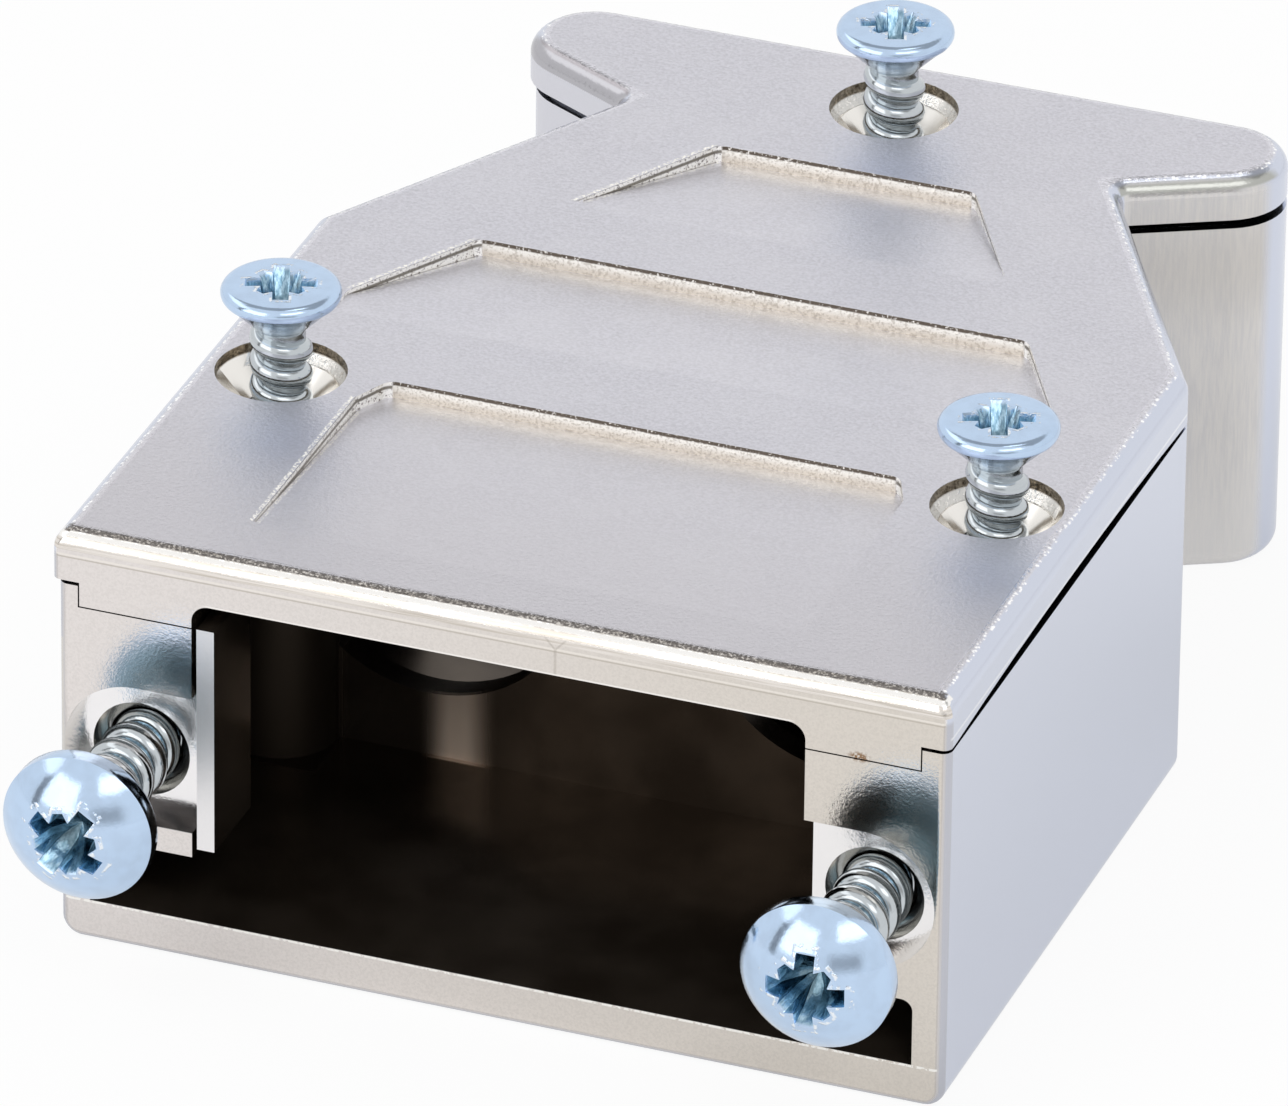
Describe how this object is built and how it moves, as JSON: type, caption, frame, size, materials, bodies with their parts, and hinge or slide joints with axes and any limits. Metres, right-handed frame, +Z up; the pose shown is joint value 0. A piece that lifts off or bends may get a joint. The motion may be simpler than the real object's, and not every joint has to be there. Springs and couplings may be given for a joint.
{
  "type": "d-sub hood",
  "caption": "Die-cast hood for a D-subminiature connector, with an eared far edge, angled cable outlets and its fastening screws.",
  "frame": {"origin": "on the base shell's underside, below the middle of the cover; the shell's own middle lies 0.1 mm towards +X", "axes": "+X across the hood towards the right-hand lug, +Y from the connector face towards the eared far edge, +Z up through the cover"},
  "size_m": [0.0304, 0.0465, 0.0182],
  "materials": {
    "plated_casting": "satin nickel over die-cast zinc, polished at the edges",
    "zinc_plated_steel": "bright pale blue zinc plating"
  },
  "bodies": {
    "hood": {"base_shell": "plated_casting", "cover": "plated_casting"},
    "left_cover_screw": {"cover_screw_left": "zinc_plated_steel"},
    "right_cover_screw": {"cover_screw_right": "zinc_plated_steel"},
    "rear_cover_screw": {"cover_screw_rear": "zinc_plated_steel"},
    "left_connector_screw": {"connector_screw_left": "zinc_plated_steel"},
    "right_connector_screw": {"connector_screw_right": "zinc_plated_steel"}
  },
  "joints": [
    {"name": "left_cover_screw_travel", "type": "slide", "parent": "hood", "child": "left_cover_screw", "axis": [0, 0, 1], "range_m": [-0.00332, 0.0019]},
    {"name": "right_cover_screw_travel", "type": "slide", "parent": "hood", "child": "right_cover_screw", "axis": [0, 0, 1], "range_m": [-0.00332, 0.0019]},
    {"name": "rear_cover_screw_travel", "type": "slide", "parent": "hood", "child": "rear_cover_screw", "axis": [0, 0, 1], "range_m": [-0.00332, 0.0019]},
    {"name": "left_connector_screw_travel", "type": "slide", "parent": "hood", "child": "left_connector_screw", "axis": [0, -1, 0], "range_m": [-0.0039, 0.0028]},
    {"name": "right_connector_screw_travel", "type": "slide", "parent": "hood", "child": "right_connector_screw", "axis": [0, -1, 0], "range_m": [-0.0039, 0.0028]}
  ]
}
